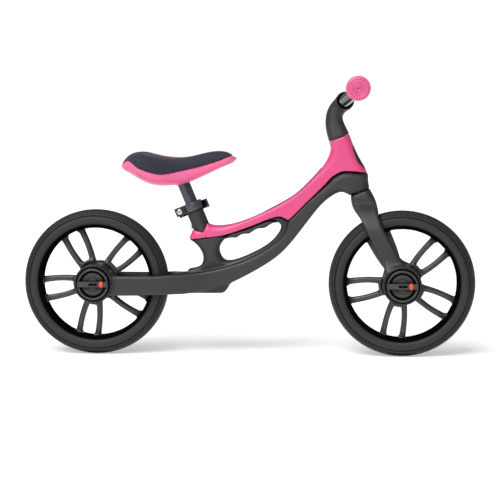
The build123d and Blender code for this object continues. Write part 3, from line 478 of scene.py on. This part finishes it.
def paint_shade_band(material, inner, outer, edge):
    """Painted shade: deep black, with no shine, between two radii round either axle, where the rim's recess
    and the knob's groove lie in shadow; all radii in metres.
    """
    nt = material.node_tree
    n, l = nt.nodes, nt.links
    b = n["Principled BSDF"]
    split = n.new("ShaderNodeSeparateXYZ")
    l.new(n["Texture Coordinate"].outputs["Object"], split.inputs[0])

    def maths(operation, first, second):
        node = n.new("ShaderNodeMath")
        node.operation = operation
        for socket, value in zip(node.inputs, (first, second)):
            if isinstance(value, float):
                socket.default_value = value
            elif value is not None:
                l.new(value, socket)
        return node.outputs[0]

    def ramp_up(value, start):
        span = n.new("ShaderNodeMapRange")
        span.inputs["From Min"].default_value = start
        span.inputs["From Max"].default_value = start + edge
        l.new(value, span.inputs["Value"])
        return span.outputs["Result"]

    along = maths("SUBTRACT", maths("ABSOLUTE", split.outputs["X"], None), AXLE_X * MM)
    height = maths("SUBTRACT", split.outputs["Z"], AXLE_Z * MM)
    radius = maths("SQRT", maths("ADD", maths("MULTIPLY", along, along),
                                 maths("MULTIPLY", height, height)), None)
    shade_band = maths("SUBTRACT", ramp_up(radius, inner), ramp_up(radius, outer))
    tone = n.new("ShaderNodeMix")
    tone.data_type = "RGBA"
    l.new(shade_band, tone.inputs[0])
    l.new(b.inputs["Base Color"].links[0].from_socket, tone.inputs[6])
    tone.inputs[7].default_value = SHADE_BLACK
    l.new(tone.outputs[2], b.inputs["Base Color"])
    shine = b.inputs["Specular IOR Level"].links[0].from_socket
    l.new(maths("MULTIPLY", shine, maths("SUBTRACT", 1.0, shade_band)), b.inputs["Specular IOR Level"])


# Painted shade: the rim's recessed inner ring and the groove round each axle knob are painted deep black.
paint_shade_band(MATERIALS["rim_plastic"], RIM_SHADE_FROM, RIM_SHADE_TO, RIM_SHADE_EDGE)
paint_shade_band(MATERIALS["knob_plastic"], KNOB_SHADE_FROM, KNOB_SHADE_TO, KNOB_SHADE_EDGE)


def dress(ob, slot_name, body=None, *nodes):
    """Finish, body and replaced CAD nodes of a piece."""
    ob.data.materials.clear()
    ob.data.materials.append(MATERIALS[slot_name])
    if body:
        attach(ob, body)
    for node in nodes:
        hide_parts(node)
    return ob


# ---------------------------------------------------------------- frame
STEP = 2.0
STEM_STEP = 1.6
TRIM_STEP = 1.4
COVER_STEP = 1.6
SADDLE_STEP = 1.8
RIM_STEP = 1.5
TYRE_TURNS = 768
OUTLINE = loop(TOP_EDGE, SLEEVE_SLOPE, TAIL, PILLAR_REAR, STAY_TOP, STAY_END, STAY_UNDER,
               DOWN_TUBE, *HEAD_BELOW, HEAD_FRONT, *HEAD_ABOVE)
COVER_ZONE = loop(PARTING_REAR, PARTING_FRONT, [(240, 349), (240, 460)],
                  [(240, 460), (-130, 460)], [(-130, 460), PARTING_REAR[0]])
OPENING = loop(OPENING_LOWER, GRIP_UPPER)
BEAM = loop(CREASE, PARTING_FRONT, [(240, 349), (250, 300)], [(250, 300), (250, 60)],
            [(250, 60), (-340, 60)], [(-340, 60), (-340, 157)], [(-340, 157), (-130, 157)])


def half_width(plan, g):
    """Half width at each X of a plan outline."""
    p = spline(plan)
    return np.interp(g.x, p[:, 0], p[:, 1])[:, None, None]


def above_line(g, start, end):
    """Distance above the straight line through two XZ points, positive upwards."""
    run, rise = end[0] - start[0], end[1] - start[1]
    size = math.hypot(run, rise)
    return ((g.Z - start[1]) * run - (g.X - start[0]) * rise) / size


def seat_coords(g):
    """Distance across and along the seat tube's axis."""
    ahead, above = g.X - SEAT_FOOT_X, g.Z - SEAT_FOOT_Z
    across = ahead * math.cos(SEAT_TILT) + above * math.sin(SEAT_TILT)
    return across, above * math.cos(SEAT_TILT) - ahead * math.sin(SEAT_TILT)


def fade(values, start, end):
    """0 at start, 1 at end, smooth between."""
    t = np.clip((values - start) / (end - start), 0, 1)
    return t * t * (3 - 2 * t)


def dropouts(f, g, axle_x, blend):
    """Round axle ends on both sides, with the wells that the axle knobs sit in."""
    f = soft_or(f, g.rod_y(axle_x, AXLE_Z, DROPOUT_R, DROPOUT_IN, DROPOUT_OUT, 1.6), blend)
    well = g.rod_y(axle_x, AXLE_Z, DROPOUT_WELL_R, WELL_FLOOR, WELL_TOP, 0.1)
    return round_and(f, -well, PART_LINE)


def head_ends(f, g):
    """Crisp flat ends of the head tube, square to the steering axis."""
    f = round_and(f, above_line(g, HEAD_ABOVE[2][1], HEAD_ABOVE[0][0]), END_ROUND)
    below = np.maximum(above_line(g, HEAD_BELOW[0][0], HEAD_BELOW[2][1]), 190 - g.X)
    return round_and(f, -below, END_ROUND)


def side_rounding(g):
    """Edge rounding of the frame's flanks, fuller at the head."""
    return FLANK_ROUND + (HEAD_ROUND - FLANK_ROUND) * fade(g.X, 110, 170)


def seat_column(outline, g):
    """Slim core behind the handle opening that rises into the pillar under the saddle."""
    waist = round_and(outline, -g.side(OPENING), 1.5)
    column = fade(-g.X, 20, 50) * fade(g.Z, 172, 184)
    return round_and(waist, np.abs(g.Y) - CORE_HALF - 1.8 * column, 8.0 + 7.0 * column)


def foot_pad(g):
    """Flat pad under the frame."""
    outline = loop(*FOOT, [FOOT[1][-1], FOOT_TOP], [FOOT_TOP, FOOT[0][0]])
    return round_and(g.side(outline), np.abs(g.Y) - FOOT_HALF, 2.5)


def tyre_gap(g):
    """Space between the stays for the rear tyre, round at its front end."""
    ahead = np.maximum(g.X - TYRE_GAP_X, 0)
    aside = np.maximum(np.abs(g.Y) - TYRE_GAP_FLAT, 0)
    return np.maximum(np.hypot(ahead, aside) - TYRE_GAP_R, g.X - TYRE_GAP_END)


def post_bore(g):
    """Bore that the seat post slides down."""
    across, along = seat_coords(g)
    return np.maximum(np.hypot(across, g.Y) - POST_BORE_R, POST_BORE_FROM - along)


def frame_lower_object():
    """Chassis: flanks, seat column, foot pad, stays with round ends, and the bored pillar."""
    g = Grid((-342, -62, 92), (240, 62, 432), STEP)
    outline = g.side(OUTLINE)
    beam = np.maximum(g.side(BEAM), outline)
    flank = np.abs(g.Y) - half_width(FRAME_PLAN, g)
    f = soft_or(round_and(beam, flank, side_rounding(g)), seat_column(outline, g), 3.0)
    f = soft_or(f, foot_pad(g), 4.0)
    f = round_and(f, -tyre_gap(g), 3.0)
    f = dropouts(f, g, -AXLE_X, 5.0)
    f = round_and(f, -post_bore(g), 0.4)
    return field_object("chassis", head_ends(round_and(f, -g.side(COVER_ZONE), PART_LINE), g), g)


def cover_object():
    """Pink cover over the top tube, open round the seat tube and the badge."""
    g = Grid((-122, -26, 216), (236, 26, 432), COVER_STEP)
    tail = fade(-g.X, 0, 60)
    flank = np.abs(g.Y) - half_width(COVER_PLAN, g)
    shell = round_and(g.side(OUTLINE), flank, side_rounding(g) + 7.0 * tail)
    f = round_and(shell, g.side(COVER_ZONE) + 0.3, 0.7 + 1.6 * tail)
    across, _ = seat_coords(g)
    f = round_and(f, -(np.hypot(across, g.Y) - TUBE_HOLE_R), 0.9)
    f = round_and(f, -badge_zone(g, BADGE_GAP), PART_LINE)
    return field_object("upper_cover", head_ends(f, g), g)


def badge_zone(g, grow):
    """Oval plate area on the front of the head, wrapping round its sides."""
    down = (g.Z - BADGE_Z) / (BADGE_HALF_H + grow)
    lean = g.Y / (BADGE_HALF_W + grow)
    oval = (np.hypot(down, lean) - 1) * 15
    back = BADGE_BACK - BADGE_SLOPE * (g.Z - BADGE_Z)
    return np.maximum(oval, back - g.X)


dress(frame_lower_object(), "frame_composite", "frame", "frame_lower")
dress(cover_object(), "pink_shell", "frame", "frame_upper_cover")


def badge_object():
    """Plain plate let into the front of the head."""
    g = Grid((180, -21, 352), (238, 21, 412), TRIM_STEP)
    shell = round_and(g.side(OUTLINE), np.abs(g.Y) - half_width(COVER_PLAN, g), HEAD_ROUND)
    f = round_and(shell - BADGE_PROUD, badge_zone(g, 0), PART_LINE)
    return field_object("head_plate", f, g)


def handle_object():
    """Soft liner of the carrying hole, scalloped for the fingers."""
    g = Grid((-56, -20, 218), (66, 20, 266), TRIM_STEP)
    f = round_and(g.side(loop(GRIP_SCALLOPS, GRIP_UPPER)), np.abs(g.Y) - HANDLE_HALF, 2.2)
    return field_object("handle_pad", f, g)


dress(badge_object(), "black_insert", "frame", "head_badge_insert")
dress(handle_object(), "handle_rubber", "frame", "handle_grip")


# ---------------------------------------------------------------- fork and stem
def fork_object():
    """Crown, two blades and round axle ends in one moulding."""
    g = Grid((188, -56, 100), (340, 56, 332), STEP)
    side = g.side(loop(*FORK_TOP, FORK_REAR, FORK_FOOT, FORK_FRONT))
    front = g.front(loop(FORK_OUTER, [(47, 145), (28, 145)], FORK_ARCH, [(0, 276), (-60, 276)],
                         [(-60, 276), (-60, 350)], [(-60, 350), (21, 350)], [(21, 350), (21, 325)]))
    f = round_and(side, front, 5.0 + 5.0 * fade(g.Z, 262, 300))
    f = round_and(f, above_line(g, FORK_REAR[0], FORK_FRONT[-1]), END_ROUND)
    return field_object("fork_body", dropouts(f, g, AXLE_X, 6.0), g)


def stem_object():
    """Gooseneck from the head to the bar clamp."""
    g = Grid((140, -26, 388), (208, 26, 512), STEM_STEP)
    front, rear = STEM_FOOT
    foot = [STEM_FRONT[0], front], [front, rear], [rear, STEM_BACK[0]]
    clamp_axis = (CLAMP_X, CLAMP_Z)
    side = g.side(loop(STEM_BACK, [STEM_BACK[-1], clamp_axis], [clamp_axis, STEM_FRONT[-1]],
                       STEM_FRONT[::-1], *foot))
    f = round_and(side, np.abs(g.Y) - STEM_HALF - STEM_FLARE * fade(-g.Z, -455, -415), STEM_ROUND)
    f = soft_or(f, g.rod_y(*clamp_axis, CLAMP_R, 0, CLAMP_HALF, 2.0), 5.0)
    f = round_and(f, -g.rod_y(*clamp_axis, BAR_MOUTH_R, 18, 60, 0.1), PART_LINE)
    f = round_and(f, -above_line(g, STEM_BACK[0], STEM_FRONT[0]), END_ROUND)
    return field_object("gooseneck", f, g)


dress(fork_object(), "frame_composite", "steering_assembly", "fork")
dress(stem_object(), "frame_composite", "steering_assembly", "stem")


# ---------------------------------------------------------------- saddle
def saddle_fields(h):
    """Grid and the saddle's top, underside, plan and parting fields."""
    g = Grid((-252, -70, 316), (-12, 70, 400), h)
    p = spline(SADDLE_PLAN)
    half = np.interp(g.x, p[:, 0], p[:, 1])[:, None, None]
    across = np.clip(np.abs(g.Y) / np.maximum(half, 12), 0, 1.2)
    top = spline(PAD_TOP)
    under = spline(SADDLE_UNDER)[::-1]
    edge = spline(PAD_EDGE)
    z_top = np.interp(g.x, top[:, 0], top[:, 1])[:, None, None]
    z_low = np.interp(g.x, under[:, 0], under[:, 1])[:, None, None]
    z_edge = np.interp(g.x, edge[:, 0], edge[:, 1])[:, None, None]
    crown = PAD_CROWN * across ** 2.4
    keel = np.clip(z_edge - z_low - 9, 0, 40) * across ** 2.6
    plan = g.plan(np.concatenate([spline(SADDLE_PLAN), [(-18.5, -80), (-246, -80)]]))
    side_top = g.Z - (z_top - crown)
    side_low = (z_low + keel) - g.Z
    wide = np.abs(g.Y) - half
    return g, side_top, side_low, np.maximum(plan, wide * 0.7), g.Z - z_edge


def saddle_base_object():
    """Saddle shell with its post boss and screw wells."""
    g, top, low, plan, edge = saddle_fields(SADDLE_STEP)
    f = round_and(round_and(low, plan + BASE_SHORTER, BASE_ROUND), edge + SEAM_HALF, 0.8)
    f = round_and(f, top + 1.2, 0.8)
    across, along = seat_coords(g)
    around = np.hypot(across, g.Y)
    span = np.maximum(SADDLE_BOSS_FROM - along, along - SADDLE_BOSS_TO)
    f = soft_or(f, round_and(around - SADDLE_BOSS_R, span, 1.0), 3.0)
    f = round_and(f, BOSS_BORE_R - around, 0.6)
    for x, z in SADDLE_SCREWS:
        well = np.maximum(np.hypot(g.X - x, g.Y) - SCREW_WELL_R, g.Z - z)
        f = round_and(f, -well, PART_LINE)
    return field_object("saddle_base", f, g)


def saddle_pad_object():
    """Crowned foam pad above the parting."""
    g, top, low, plan, edge = saddle_fields(SADDLE_STEP)
    f = round_and(round_and(top, plan, PAD_ROUND), SEAM_HALF - edge, 1.2)
    return field_object("saddle_pad", f, g)


pad = dress(saddle_pad_object(), "pad_foam", "saddle_assembly", "seat_pad")
dress(saddle_base_object(), "seat_pink", "saddle_assembly", "seat_base")


# ---------------------------------------------------------------- tyres
def tyre_object(name, cx):
    """Lathed tyre with shoulder grooves and slanted tread cuts."""
    ring = np.array(TYRE_PROFILE + [(r, -w) for r, w in reversed(TYRE_PROFILE)])
    count = len(ring)
    a = np.linspace(0, 2 * math.pi, TYRE_TURNS, endpoint=False)[:, None]
    rad = np.repeat(ring[None, :, 0], TYRE_TURNS, 0)
    wide = np.repeat(ring[None, :, 1], TYRE_TURNS, 0)
    shoulder = np.clip((rad - TREAD_FROM) / 1.2, 0, 1) * np.clip((np.abs(wide) - 4.0) / 4.0, 0, 1)
    wave = np.cos(a * TREAD_CUTS + np.abs(wide) * TREAD_SLANT)
    rad = rad - TREAD_DEPTH * np.clip((wave - 0.55) * 4, 0, 1) * shoulder
    verts = np.stack([cx + rad * np.cos(a), wide, AXLE_Z + rad * np.sin(a)], 2)
    i = np.arange(TYRE_TURNS)[:, None]
    j = np.arange(count)[None, :]
    i2, j2 = (i + 1) % TYRE_TURNS, (j + 1) % count
    quads = np.stack([i * count + j, i * count + j2, i2 * count + j2, i2 * count + j], 2)
    return new_mesh(name, verts.reshape(-1, 3), quads.reshape(-1, 4))


def spoke_pair(g, angle):
    """Two bowed spokes either side of an angle, and the feet that join them to the rim."""
    along = g.X * math.cos(angle) + g.Z * math.sin(angle)
    aside = np.abs(-g.X * math.sin(angle) + g.Z * math.cos(angle))
    t = np.clip((along - 30) / 75, 0, 1)
    bow = np.sin(math.pi * t)
    mid = 9.0 + 9.6 * t + 3.4 * bow * (1 - 0.25 * t)
    deep = np.abs(g.Y) - (9.0 - 2.6 * t)
    spoke = round_and(np.abs(aside - mid) - (6.2 - 0.8 * bow), deep, 3.6)
    spoke = np.maximum(spoke, np.maximum(24 - along, along - 107))
    foot = round_and(np.abs(aside - FOOT_ASIDE) - FOOT_WIDE, np.abs(g.Y) - 9.5, 2.5)
    return spoke, round_and(foot, np.maximum(100 - along, along - 108), 1.0)


def hub_web(g, r, ay):
    """Disc round the hub, scooped between the spoke pairs and hollowed near its rim."""
    web = np.maximum(r - WEB_R, ay - WEB_HALF)
    for k in range(SPOKE_PAIRS):
        a = math.radians(FIRST_PAIR + PAIR_PITCH * (k + 0.5))
        scoop = np.hypot(g.X - SCOOP_AT * math.cos(a), g.Z - SCOOP_AT * math.sin(a)) - SCOOP_R
        web = round_and(web, -scoop, 1.5)
    pocket = np.maximum(np.abs(r - 33) - 6, 8 - ay)
    return round_and(web, -pocket, 1.0)


def rim_object(name, cx):
    """Rim ring with lips, five pairs of bowed spokes with stepped feet, scalloped hub web."""
    g = Grid((-114, -28, -114), (114, 28, 114), RIM_STEP)
    r = np.hypot(g.X, g.Z)
    ay = np.abs(g.Y)
    barrel = np.abs(r - RIM_MID_R) - RIM_HALF + 0.9 * fade(-ay, -12, -4)
    f = round_and(barrel, ay - RIM_HALF_W, 1.2)
    for k in range(SPOKE_PAIRS):
        spoke, foot = spoke_pair(g, math.radians(FIRST_PAIR + PAIR_PITCH * k))
        f = soft_or(soft_or(f, spoke, 2.4), foot, 1.4)
    f = soft_or(f, hub_web(g, r, ay), 3.0)
    f = soft_or(f, round_and(r - HUB_R, ay - HUB_HALF, 1.0), 2.0)
    ob = field_object(name, f, g)
    ob.data.transform(Matrix.Translation((cx * MM, 0, AXLE_Z * MM)))
    return ob


dress(rim_object("front_rim_skin", AXLE_X), "rim_plastic", "front_wheel", "front_rim")
dress(rim_object("rear_rim_skin", -AXLE_X), "rim_plastic", "rear_wheel", "rear_rim")
dress(tyre_object("front_tyre_skin", AXLE_X), "tyre_foam", "front_wheel", "front_tyre")
dress(tyre_object("rear_tyre_skin", -AXLE_X), "tyre_foam", "rear_wheel", "rear_tyre")


# ---------------------------------------------------------------- grips
def lathed(name, profile, origin, axis, turns=96):
    """Closed skin turned round an axis from (distance along, radius) points in mm."""
    axis = Vector(axis).normalized()
    u = axis.cross(Vector((0, 0, 1))).normalized()
    v = axis.cross(u)
    verts, faces = [], []
    for s, r in profile:
        for k in range(turns):
            a = 2 * math.pi * k / turns
            verts.append(Vector(origin) + axis * s + (u * math.cos(a) + v * math.sin(a)) * r)
    rings = len(profile)
    for i in range(rings - 1):
        for k in range(turns):
            k2 = (k + 1) % turns
            faces.append((i * turns + k, i * turns + k2, (i + 1) * turns + k2, (i + 1) * turns + k))
    faces.append(tuple(range(turns))[::-1])
    faces.append(tuple((rings - 1) * turns + k for k in range(turns)))
    return new_mesh(name, verts, faces)


def grip_profile():
    """Ribbed barrel, guard ring and a bulb end with raised rings round a dimple."""
    points = [(0, 12.2), (0, 17), (0.8, 18), (3.2, 18), (4, 17.2), (5, 15.4)]
    for rib in range(GRIP_RIBS):
        s = GRIP_RIB_FROM + rib * GRIP_RIB_PITCH
        points += [(s, 15), (s + 0.8, 15.9), (s + 4.6, 15.9), (s + 5.4, 15)]
    points += [(86.5, 15.4), (88, 17.5), (89.2, 20.8), (90.4, 22), (93.6, 22.2), (95.6, 21.6), (96.6, 20)]
    for r in GRIP_RING_RADII:
        points += [(96.6, r + 1.3), (97.5, r + 0.7), (97.5, r - 0.1), (96.7, r - 0.5)]
    return points + [(96.7, 1.2), (95.2, 0.8), (94.8, 0.2)]


for side, end in ((-1, "grip_right"), (1, "grip_left")):
    inner, outer = [Vector((x, side * y, z)) for x, y, z in (GRIP_START, GRIP_END)]
    along_bar = (outer - inner).normalized()
    skin = lathed(end + "_skin", grip_profile(), inner + along_bar * GRIP_SETBACK, along_bar)
    dress(skin, "grip_pink", "steering_assembly", end)


# ---------------------------------------------------------------- carried-over CAD nodes
BEVELS = {"rim": 1.6, "axle_knob": 0.8, "axle_cap": 0.8, "toothed_rings": 0.4,
          "release_button": 0.5, "seat_clamp_collar": 0.7, "clamp_lever": 1.0, "clamp_nut": 0.4,
          "top_tube_insert": 0.6, "seat_pad_stripe": 0.5}
WELD_REACH, BEVEL_FROM = 0.00002, math.radians(32)


def soften(ob, width):
    """Welded, bevelled edges and smooth shading as modifiers on a CAD piece."""
    weld = ob.modifiers.new("weld", "WELD")
    weld.merge_threshold = WELD_REACH
    bevel = ob.modifiers.new("bevel", "BEVEL")
    bevel.width = width * MM
    bevel.segments = 2
    bevel.limit_method = "ANGLE"
    bevel.angle_limit = BEVEL_FROM
    bevel.harden_normals = True
    bevel.use_clamp_overlap = True


slots = {s["node"]: s["material_slot"] for s in frame["record"]["subparts"]}
for node, ob in frame["nodes"].items():
    ob.data.materials.clear()
    ob.data.materials.append(MATERIALS[slots[node]])
    for key, width in BEVELS.items():
        if key in node:
            soften(ob, width)

# ---------------------------------------------------------------- floor, light, camera
FLOOR_HALF, FLOOR_GLOW, FLOOR_SHINE = 9000, 0.42, 0.12
BACKDROP_SEEN, BACKDROP_GIVEN = 1.05, 0.25


def floor_material(glow, shine):
    """White light-table floor: a matt white with a weak mirror coat, lit a little from beneath."""
    mat = bpy.data.materials.new("floor_pale")
    mat.use_nodes = True
    nt = mat.node_tree
    matt = nt.nodes["Principled BSDF"]
    matt.inputs["Base Color"].default_value = (0.9, 0.9, 0.9, 1)
    matt.inputs["Roughness"].default_value = 0.9
    matt.inputs["Specular IOR Level"].default_value = 0.0
    matt.inputs["Emission Color"].default_value = (1, 1, 1, 1)
    matt.inputs["Emission Strength"].default_value = glow
    mirror = nt.nodes.new("ShaderNodeBsdfGlossy")
    mirror.inputs["Roughness"].default_value = 0.12
    mix = nt.nodes.new("ShaderNodeMixShader")
    mix.inputs["Fac"].default_value = shine
    nt.links.new(matt.outputs["BSDF"], mix.inputs[1])
    nt.links.new(mirror.outputs["BSDF"], mix.inputs[2])
    nt.links.new(mix.outputs["Shader"], nt.nodes["Material Output"].inputs["Surface"])
    return mat


floor = new_mesh("floor", [(x * FLOOR_HALF, y * FLOOR_HALF, 0)
                           for x, y in ((-1, -1), (1, -1), (1, 1), (-1, 1))],
                 [(0, 1, 2, 3)], smooth=False)
floor.data.materials.append(floor_material(FLOOR_GLOW, FLOOR_SHINE))


def lamp(name, kind, place, aim, size, power):
    """Soft light at a place, turned towards a point; size is metres, or an angle for a sun."""
    data = bpy.data.lights.new(name, kind)
    if kind == "AREA":
        data.size = size
    else:
        data.angle = math.radians(size)
    data.energy = power
    ob = bpy.data.objects.new(name, data)
    bpy.context.scene.collection.objects.link(ob)
    ob.location = place
    ob.rotation_euler = (Vector(aim) - Vector(place)).to_track_quat("-Z", "Y").to_euler()


def studio_world(seen, given):
    """White surround that gives the object less light than it shows."""
    world = bpy.data.worlds.new("studio")
    world.use_nodes = True
    nt = world.node_tree
    light = nt.nodes["Background"]
    light.inputs["Color"].default_value = (1, 1, 1, 1)
    light.inputs["Strength"].default_value = given
    backdrop = nt.nodes.new("ShaderNodeBackground")
    backdrop.inputs["Color"].default_value = (1, 1, 1, 1)
    backdrop.inputs["Strength"].default_value = seen
    mix = nt.nodes.new("ShaderNodeMixShader")
    path = nt.nodes.new("ShaderNodeLightPath")
    nt.links.new(path.outputs["Is Camera Ray"], mix.inputs["Fac"])
    nt.links.new(light.outputs["Background"], mix.inputs[1])
    nt.links.new(backdrop.outputs["Background"], mix.inputs[2])
    nt.links.new(mix.outputs["Shader"], nt.nodes["World Output"].inputs["Surface"])
    bpy.context.scene.world = world


lamp("sun_soft", "SUN", (-1.2, -2.2, 3.4), (0, 0, 0.2), 40, 3.1)
lamp("front_softbox", "AREA", (-0.5, -2.6, 1.3), (0, 0, 0.25), 0.9, 16)
studio_world(BACKDROP_SEEN, BACKDROP_GIVEN)
bpy.context.scene.view_settings.view_transform = "Standard"

AZIMUTH, ELEVATION, DISTANCE = math.radians(3.642), math.radians(5.34), 3.060
SENSOR, FOCAL_WIDTHS = 36, 3.184
target = Vector((0.003, 0, 0.2025))
back = Vector((math.sin(AZIMUTH) * math.cos(ELEVATION), -math.cos(AZIMUTH) * math.cos(ELEVATION),
               math.sin(ELEVATION)))
cam_data = bpy.data.cameras.new("camera")
cam_data.sensor_width = SENSOR
cam_data.lens = SENSOR * FOCAL_WIDTHS
cam = bpy.data.objects.new("camera", cam_data)
bpy.context.scene.collection.objects.link(cam)
cam.location = target + back * DISTANCE
cam.rotation_euler = (-back).to_track_quat("-Z", "Y").to_euler()
bpy.context.scene.camera = cam
